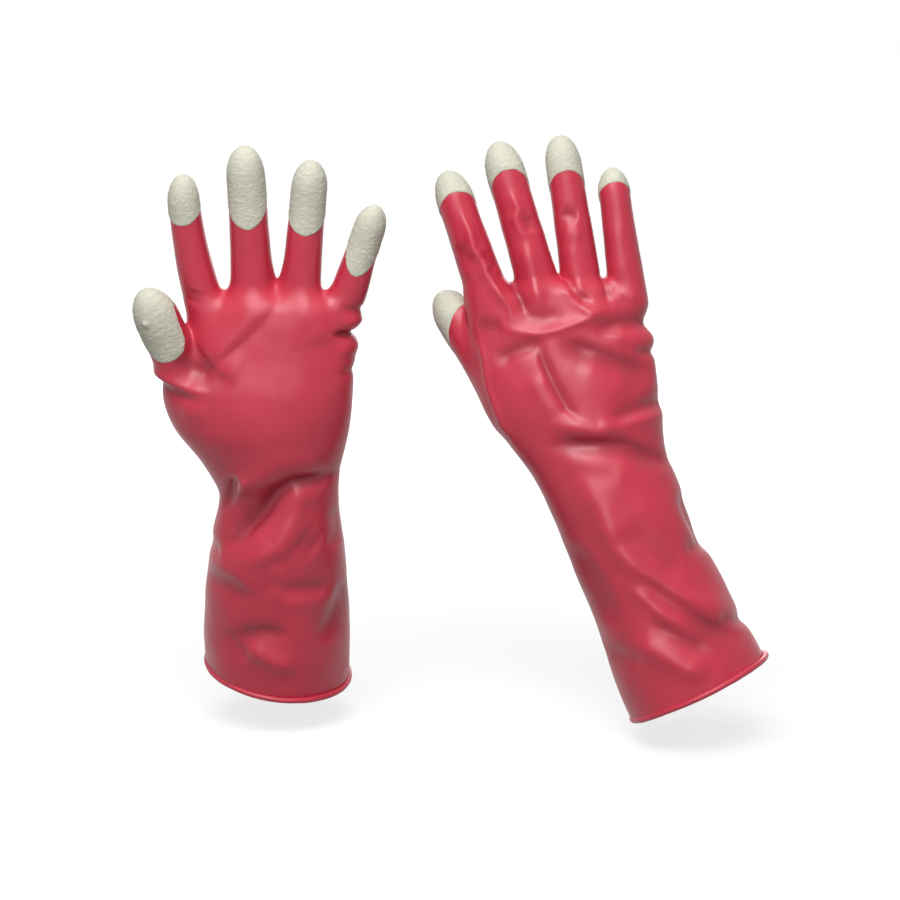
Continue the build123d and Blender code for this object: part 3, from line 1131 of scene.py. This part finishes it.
def make_coat(glove, digit, settings):
    skin = skin_of(glove)
    name = f"{glove.side}_{digit.name}_tip_coat"
    patch, level, normal = coat_patch(glove, digit, skin, settings)
    root, along, palmar = (np.array(v) for v in axes_of(glove, digit))
    points = points_of(patch)
    depth = (points - level) @ normal
    seed = 3 + 7 * GLOVES.index(glove) + glove.digits.index(digit)
    height, size, fade = COAT_WAVE
    wave = height * unevenness(points, size, seed) * np.exp(-depth / fade)
    points = points + along * wave[:, None]
    shaped_like(patch, points)
    width = settings.edge_width / MM
    inward = np.clip(depth / width, 0, 1)
    rim = np.sqrt(np.maximum(1 - (1 - inward) ** 2, 0))
    across = np.cross(palmar, along)
    lie = np.stack([points @ across, points @ palmar, (points - root) @ along], axis=1)
    add_attribute(patch, "rim", rim)
    add_attribute(patch, "lie", lie, "FLOAT_VECTOR", "vector")
    under = points - normals_of(patch) * COAT_SINK
    values = {
        "Thickness": settings.thickness / MM,
        "Crinkle Height": settings.crinkle_height / MM,
        "Crinkle Size": settings.crinkle_size / MM,
        "Seed": float(seed),
    }
    tree, ids = tree_of("Crinkled coat", values, fill_crinkles)
    raised = grown(patch, name, tree, ids, values | {"Material": finish_of("coat")})
    if digit.name == "thumb" and glove.side == "left":
        add_nodule(raised, root, along, palmar)
    crinkle = np.empty(len(raised.vertices), np.float32)
    raised.attributes["crinkle"].data.foreach_get("value", crinkle)
    top = [tuple(f.vertices) for f in raised.polygons]
    mesh = closed_wall(name, top, points_of(raised), under, "crinkle", crinkle)
    bpy.data.meshes.remove(raised)
    obj = piece_of(name, mesh, glove, "coat")
    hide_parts(f"{glove.side}_{digit.name}_coat")
    bend_with(obj)


def add_nodule(mesh, root, along, palmar):
    """A drop that dried on the coat."""
    points, normals = points_of(mesh), normals_of(mesh)
    across = np.cross(palmar, along)
    spot = root + along * DROP_AT[0] + across * DROP_AT[1] + palmar * DROP_AT[2]
    distance = np.linalg.norm(points - spot, axis=1)
    drop = DROP_SIZE[0] * np.exp(-((distance / DROP_SIZE[1]) ** 2))
    shaped_like(mesh, points + normals * drop[:, None])


def make_bead(glove, settings):
    name = f"{glove.side}_mouth_bead"
    values = {
        "Ring Radius": settings.ring_radius / MM,
        "Roll Radius": settings.roll_radius / MM,
        "Unevenness": settings.unevenness / MM,
    }
    tree, ids = tree_of("Rolled bead", values, fill_bead)
    empty = bpy.data.meshes.new(name)
    mesh = grown(empty, name, tree, ids, values | {"Material": finish_of("film")})
    bm = bmesh.new()
    bm.from_mesh(mesh)
    bmesh.ops.remove_doubles(bm, verts=bm.verts, dist=ON_LEVEL)
    bmesh.ops.recalc_face_normals(bm, faces=bm.faces)
    bm.to_mesh(mesh)
    bm.free()
    lift = Matrix.Translation((0, 0, settings.roll_radius / MM))
    mesh.transform(turning(glove.mouth_lean, glove.mouth_tilt) @ lift)
    obj = piece_of(name, mesh, glove, "film")
    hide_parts(f"{glove.side}_rolled_bead")
    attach(obj, f"{glove.side}_cuff")


# Stage

SHADOW_REACH = (0.25, 0.7)  # the floor's shadow fades out between these, in metres from the aim
LAMPS = (  # name, place from the middle of the pair, size in metres, and watts
    ("key", (-0.15, -0.85, 1.1), (1.0, 0.8), 22.0),
    ("front", (-0.1, -1.5, 0.5), (1.3, 0.7), 7.0),
    ("top", (0.0, 0.1, 1.6), (1.3, 0.9), 7.0),
    ("back", (0.1, 1.5, 0.4), (1.3, 0.7), 9.0),
)


def add_area(name, offset, size, power):
    """A rectangular lamp that shines at the middle of the pair."""
    aim = (Vector(CAD_BOX[0]) + Vector(CAD_BOX[1])) / 2
    lamp = bpy.data.lights.new(name, "AREA")
    lamp.shape = "RECTANGLE"
    lamp.size, lamp.size_y = size
    lamp.energy = power
    obj = object_from(lamp, name)
    at = aim + Vector(offset)
    obj.location = at
    obj.rotation_euler = (aim - at).to_track_quat("-Z", "Y").to_euler()


def seen_rays(tree, location):
    """1 for rays that show the backdrop itself: straight, mirrored or seen through."""
    path = add_node(tree, "ShaderNodeLightPath", location).outputs
    seen = path["Is Camera Ray"]
    for k, name in enumerate(("Is Glossy Ray", "Is Transmission Ray")):
        seen = add_math(tree, "MAXIMUM", (location[0] + 180, location[1] - 160 * k), seen, path[name])
    return seen


def floor_material(stage):
    """White all over in view, with the gloves' shadow near them."""
    material, tree, total, place = new_material("Pale floor", "ShaderNodeAddShader")
    paint = add_node(tree, "ShaderNodeBsdfDiffuse", (100, 100), {"Color": (*stage.floor_colour, 1.0)})
    centre = (stage.aim[0], stage.aim[1], CAD_BOX[0][2] - stage.floor_drop)
    away = add_node(
        tree, "ShaderNodeVectorMath", (-700, -400), {0: place, 1: centre}, operation="DISTANCE"
    )
    far = add_spread(tree, away.outputs["Value"], (-500, -400), stage.floor_glow, 1.0, *SHADOW_REACH)
    lift = add_math(tree, "MULTIPLY", (-100, -200), seen_rays(tree, (-500, -100)), far)
    glow = add_node(tree, "ShaderNodeEmission", (100, -100), {"Strength": lift})
    feed(tree, total.inputs[0], paint.outputs[0])
    feed(tree, total.inputs[1], glow.outputs[0])
    return material


def white_world(strength):
    world = bpy.data.worlds.new("Studio")
    bpy.context.scene.world = world
    world.use_nodes = True
    tree = world.node_tree
    tree.nodes.clear()
    inputs = {"Value": seen_rays(tree, (-600, 0)), "To Min": strength, "To Max": 1.0}
    level = add_node(tree, "ShaderNodeMapRange", (0, 0), inputs).outputs[0]
    inputs = {"Color": (1, 1, 1, 1), "Strength": level}
    sky = add_node(tree, "ShaderNodeBackground", (200, 0), inputs)
    add_node(tree, "ShaderNodeOutputWorld", (400, 0), {"Surface": sky.outputs[0]})


def add_floor(stage):
    bm = bmesh.new()
    bmesh.ops.create_grid(bm, x_segments=1, y_segments=1, size=stage.floor_size / 2)
    mesh = bpy.data.meshes.new("floor")
    bm.to_mesh(mesh)
    bm.free()
    mesh.transform(Matrix.Translation((0, 0, CAD_BOX[0][2] - stage.floor_drop)))
    mesh.materials.append(floor_material(stage))
    object_from(mesh, "floor")


def add_camera(stage):
    camera = bpy.data.cameras.new("camera")
    camera.lens = stage.camera_lens
    camera.sensor_width = 36.0
    camera.clip_end = 50.0
    obj = object_from(camera, "camera")
    rise = radians(stage.camera_rise)
    away = Vector((0, -cos(rise), sin(rise)))
    obj.location = Vector(stage.aim) + away * stage.camera_distance
    obj.rotation_euler = (-away).to_track_quat("-Z", "Y").to_euler()
    bpy.context.scene.camera = obj


# Settings


class GloveFilmSettings(bpy.types.PropertyGroup):
    film_thickness: FloatProperty(
        name="Film Thickness", description="Wall of the dipped film", default=0.0005, unit="LENGTH"
    )
    mesh_size: FloatProperty(
        name="Mesh Size", description="Cell of the even skin", default=0.00133, unit="LENGTH"
    )
    fold_depth: FloatProperty(
        name="Fold Depth", description="Share of each fold's full depth", default=1.0, subtype="FACTOR"
    )
    rim_height: FloatProperty(
        name="Rim Height", description="Film's edge above the mouth's plane, in millimetres", default=0.8
    )
    finger_seam: FloatProperty(
        name="Finger Seam", description="Finger's first ring above its crotch, in millimetres", default=5.0
    )
    thumb_seam: FloatProperty(
        name="Thumb Seam", description="Thumb's seam inside its crotch, in millimetres", default=0.0
    )
    wrist_reach: FloatProperty(
        name="Wrist Reach",
        description="Length that bends each side of the wrist",
        default=0.03,
        unit="LENGTH",
    )


class TipCoatSettings(bpy.types.PropertyGroup):
    thickness: FloatProperty(
        name="Thickness", description="Wall of the second dip", default=0.00025, unit="LENGTH"
    )
    crinkle_height: FloatProperty(
        name="Crinkle Height", description="Height of the crinkles", default=0.00042, unit="LENGTH"
    )
    crinkle_size: FloatProperty(
        name="Crinkle Size", description="Distance between crinkles", default=0.002, unit="LENGTH"
    )
    edge_width: FloatProperty(
        name="Edge Width", description="Width of the coat's rounded edge", default=0.0008, unit="LENGTH"
    )
    divisions: IntProperty(name="Divisions", description="Times each face is divided", default=2)


class MouthBeadSettings(bpy.types.PropertyGroup):
    ring_radius: FloatProperty(
        name="Ring Radius",
        description="Mouth's centre to the middle of the roll",
        default=0.0417,
        unit="LENGTH",
    )
    roll_radius: FloatProperty(
        name="Roll Radius", description="Section of the roll", default=0.0017, unit="LENGTH"
    )
    unevenness: FloatProperty(
        name="Unevenness", description="How far the roll wanders", default=0.0012, unit="LENGTH"
    )


class GloveFinishSettings(bpy.types.PropertyGroup):
    film_colour: FloatVectorProperty(
        name="Film Colour",
        description="Colour of the rubber",
        default=(0.46, 0.026, 0.053),
        subtype="COLOR",
    )
    film_roughness: FloatProperty(
        name="Film Roughness", description="Roughness of the rubber", default=0.38, subtype="FACTOR"
    )
    coat_colour: FloatVectorProperty(
        name="Coat Colour",
        description="Colour of the second dip",
        default=(0.53, 0.525, 0.43),
        subtype="COLOR",
    )


class GloveStageSettings(bpy.types.PropertyGroup):
    floor_colour: FloatVectorProperty(
        name="Floor Colour", description="Colour of the floor", default=(0.26, 0.26, 0.26), subtype="COLOR"
    )
    floor_glow: FloatProperty(
        name="Floor Glow", description="Floor's own brightness in view", default=0.75, subtype="FACTOR"
    )
    floor_drop: FloatProperty(
        name="Floor Drop", description="Floor below the lowest bead", default=0.01, unit="LENGTH"
    )
    floor_size: FloatProperty(
        name="Floor Size", description="Side of the square floor", default=40.0, unit="LENGTH"
    )
    aim: FloatVectorProperty(
        name="Aim", description="Point the camera looks at", default=(0.1003, -0.02, 0.1326), subtype="XYZ"
    )
    world_light: FloatProperty(
        name="World Light", description="Light from all round", default=0.1, subtype="FACTOR"
    )
    camera_lens: FloatProperty(
        name="Camera Lens", description="Focal length in millimetres", default=100.0
    )
    camera_distance: FloatProperty(
        name="Camera Distance", description="Camera to the aim", default=1.415, unit="LENGTH"
    )
    camera_rise: FloatProperty(
        name="Camera Rise", description="Degrees the camera looks down", default=10.0
    )


# Operators


class GLOVES_OT_film(bpy.types.Operator):
    """Make the thin rubber skin of both gloves"""

    bl_idname = "gloves.film"
    bl_label = "Make Rubber Film"

    def execute(self, context):
        for glove in GLOVES:
            make_skins(glove, context.scene.glove_film)
        return {"FINISHED"}


class GLOVES_OT_coats(bpy.types.Operator):
    """Coat the tip of every finger and thumb"""

    bl_idname = "gloves.coats"
    bl_label = "Coat Digit Tips"

    def execute(self, context):
        for glove in GLOVES:
            for digit in glove.digits:
                make_coat(glove, digit, context.scene.glove_coats)
        return {"FINISHED"}


class GLOVES_OT_beads(bpy.types.Operator):
    """Roll the bead round each mouth"""

    bl_idname = "gloves.beads"
    bl_label = "Roll Mouth Beads"

    def execute(self, context):
        for glove in GLOVES:
            make_bead(glove, context.scene.glove_bead)
        return {"FINISHED"}


class GLOVES_OT_stage(bpy.types.Operator):
    """Set the floor, lights and camera"""

    bl_idname = "gloves.stage"
    bl_label = "Set Stage"

    def execute(self, context):
        stage = context.scene.glove_stage
        white_world(stage.world_light)
        add_floor(stage)
        add_camera(stage)
        for lamp in LAMPS:
            add_area(*lamp)
        context.scene.view_settings.view_transform = "Standard"
        return {"FINISHED"}


class GLOVES_PT_panel(bpy.types.Panel):
    bl_label = "Rubber Gloves"
    bl_idname = "GLOVES_PT_panel"
    bl_space_type = "VIEW_3D"
    bl_region_type = "UI"
    bl_category = "Gloves"

    def draw(self, context):
        groups = (
            ("glove_film", "gloves.film"),
            ("glove_coats", "gloves.coats"),
            ("glove_bead", "gloves.beads"),
            ("glove_finish", None),
            ("glove_stage", "gloves.stage"),
        )
        for name, operator in groups:
            box = self.layout.box()
            settings = getattr(context.scene, name)
            for prop in settings.__annotations__:
                box.prop(settings, prop)
            if operator:
                box.operator(operator)


SETTINGS = {
    "glove_film": GloveFilmSettings,
    "glove_coats": TipCoatSettings,
    "glove_bead": MouthBeadSettings,
    "glove_finish": GloveFinishSettings,
    "glove_stage": GloveStageSettings,
}
CLASSES = (
    *SETTINGS.values(),
    GLOVES_OT_film,
    GLOVES_OT_coats,
    GLOVES_OT_beads,
    GLOVES_OT_stage,
    GLOVES_PT_panel,
)


def register():
    for cls in CLASSES:
        bpy.utils.register_class(cls)
    for name, cls in SETTINGS.items():
        setattr(bpy.types.Scene, name, PointerProperty(type=cls))


def unregister():
    for name in SETTINGS:
        delattr(bpy.types.Scene, name)
    for cls in reversed(CLASSES):
        bpy.utils.unregister_class(cls)


def main():
    register()
    bpy.ops.gloves.film()
    bpy.ops.gloves.coats()
    bpy.ops.gloves.beads()
    bpy.ops.gloves.stage()


if __name__ == "__main__":
    main()
